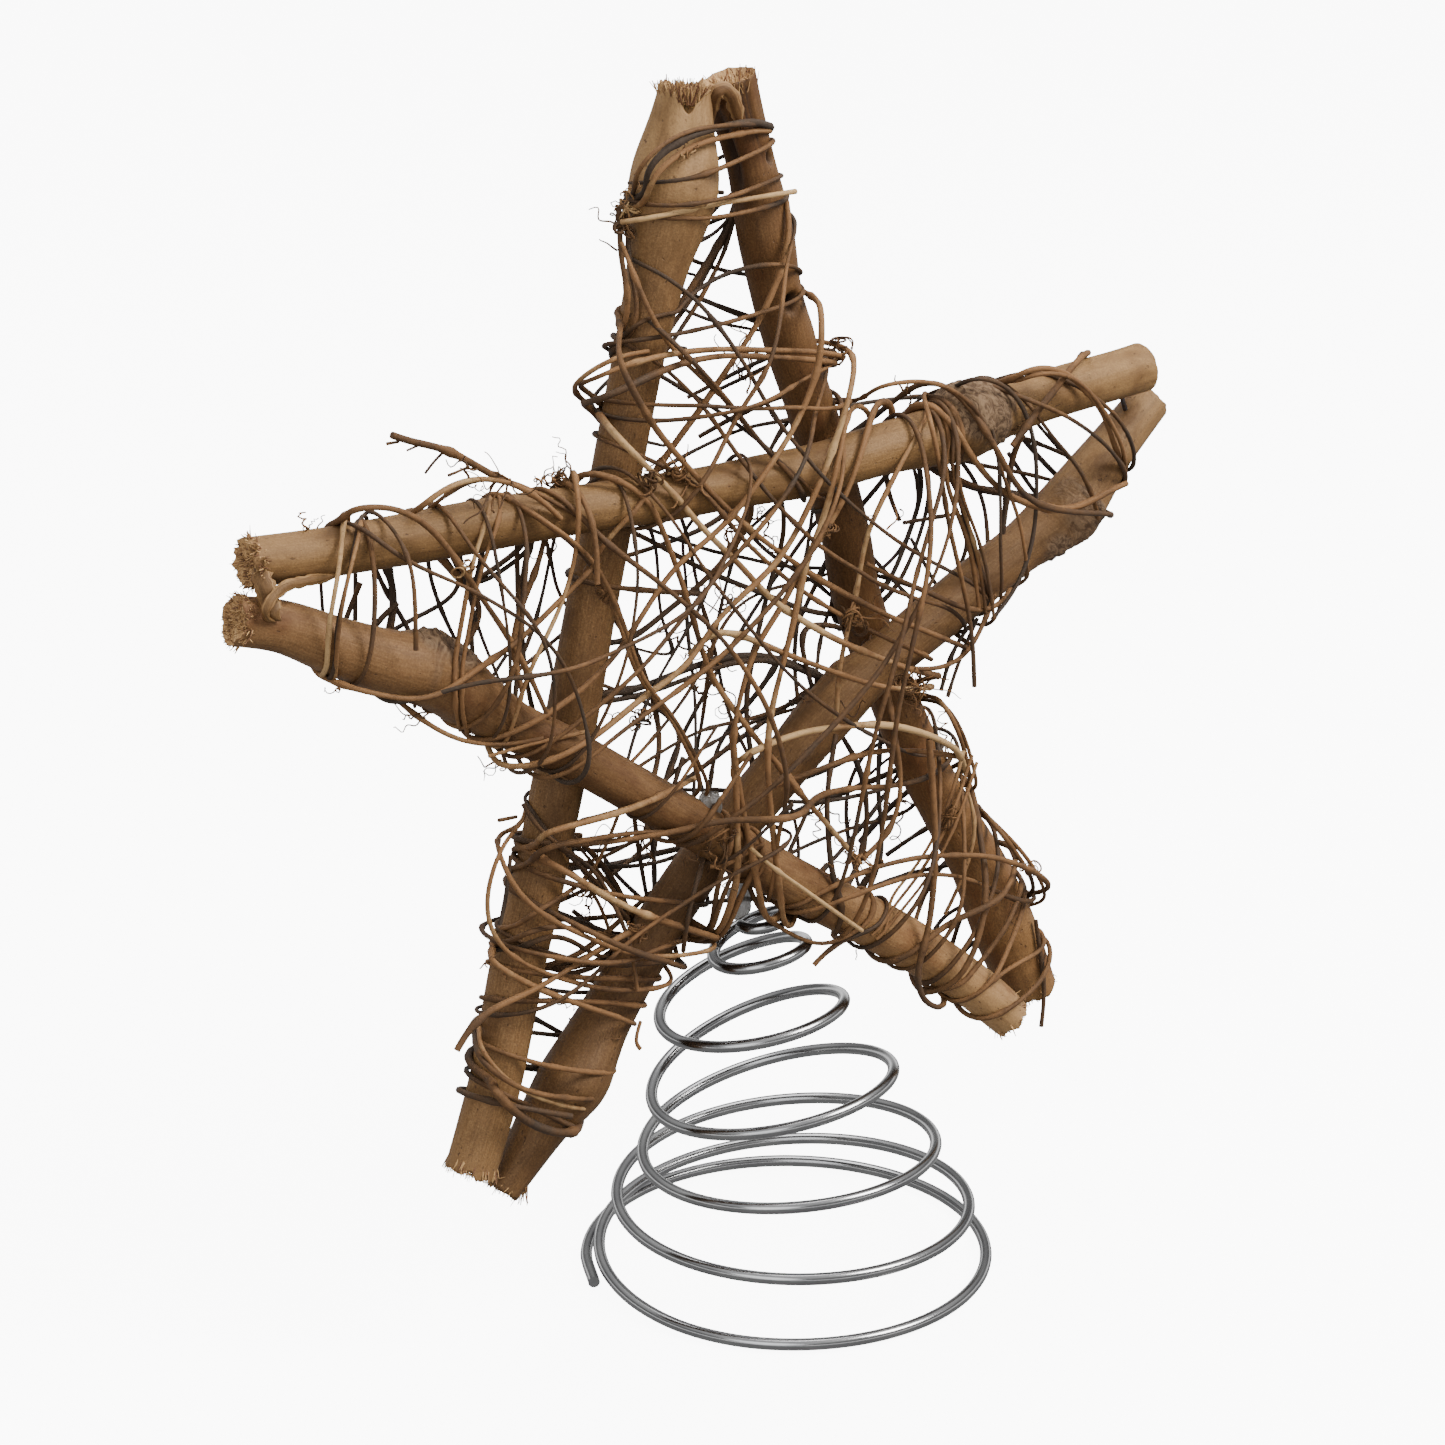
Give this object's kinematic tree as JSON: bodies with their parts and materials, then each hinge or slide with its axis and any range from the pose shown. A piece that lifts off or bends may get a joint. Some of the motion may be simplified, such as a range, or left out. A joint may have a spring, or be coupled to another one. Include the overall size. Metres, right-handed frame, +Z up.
{
  "type": "spiral star tree topper",
  "caption": "Rustic star of peeled sticks wound with thin dried vine strands, carried on a conical wire spring that slips over the tip of a tree.",
  "frame": {"origin": "middle of the bounding box at its base, which is the level the spring's lowest turn stands on", "axes": "+Z up; +X towards the star's right-hand point as seen from its front; the front, where the left-to-right stick crosses over, faces -Y"},
  "size_m": [0.2458, 0.0894, 0.2622],
  "materials": {
    "glue_lump": "set hot-melt glue, cloudy",
    "spring": "drawn steel wire",
    "stick_left_to_lower_right": "peeled dry twig, satin",
    "stick_left_to_right": "peeled dry twig, satin",
    "stick_right_to_lower_left": "peeled dry twig, satin",
    "stick_top_to_lower_left": "peeled dry twig, satin",
    "stick_top_to_lower_right": "peeled dry twig, satin",
    "tip_nail": "dark steel nail",
    "vine_01": "dry vine bark, matt",
    "vine_02": "dry vine bark, matt",
    "vine_03": "dry vine bark, matt",
    "vine_04": "dry vine bark, matt",
    "vine_05": "dry vine bark, matt",
    "vine_06": "dry vine bark, matt",
    "vine_07": "dry vine bark, matt",
    "vine_08": "dry vine bark, matt",
    "vine_09": "dry vine bark, matt",
    "vine_10": "dry vine bark, matt",
    "vine_11": "dry vine bark, matt",
    "vine_12": "dry vine bark, matt",
    "vine_13": "dry vine bark, matt",
    "vine_14": "dry vine bark, matt",
    "vine_15": "dry vine bark, matt",
    "vine_16": "dry vine bark, matt",
    "vine_17": "dry vine bark, matt",
    "vine_18": "dry vine bark, matt",
    "vine_19": "dry vine bark, matt",
    "vine_20": "dry vine bark, matt"
  },
  "bodies": {
    "root": {"glue_lump": "glue_lump", "spring": "spring", "stick_left_to_lower_right": "stick_left_to_lower_right", "stick_left_to_right": "stick_left_to_right", "stick_right_to_lower_left": "stick_right_to_lower_left", "stick_top_to_lower_left": "stick_top_to_lower_left", "stick_top_to_lower_right": "stick_top_to_lower_right", "tip_nail": "tip_nail", "vine_01": "vine_01", "vine_02": "vine_02", "vine_03": "vine_03", "vine_04": "vine_04", "vine_05": "vine_05", "vine_06": "vine_06", "vine_07": "vine_07", "vine_08": "vine_08", "vine_09": "vine_09", "vine_10": "vine_10", "vine_11": "vine_11", "vine_12": "vine_12", "vine_13": "vine_13", "vine_14": "vine_14", "vine_15": "vine_15", "vine_16": "vine_16", "vine_17": "vine_17", "vine_18": "vine_18", "vine_19": "vine_19", "vine_20": "vine_20"}
  },
  "joints": []
}
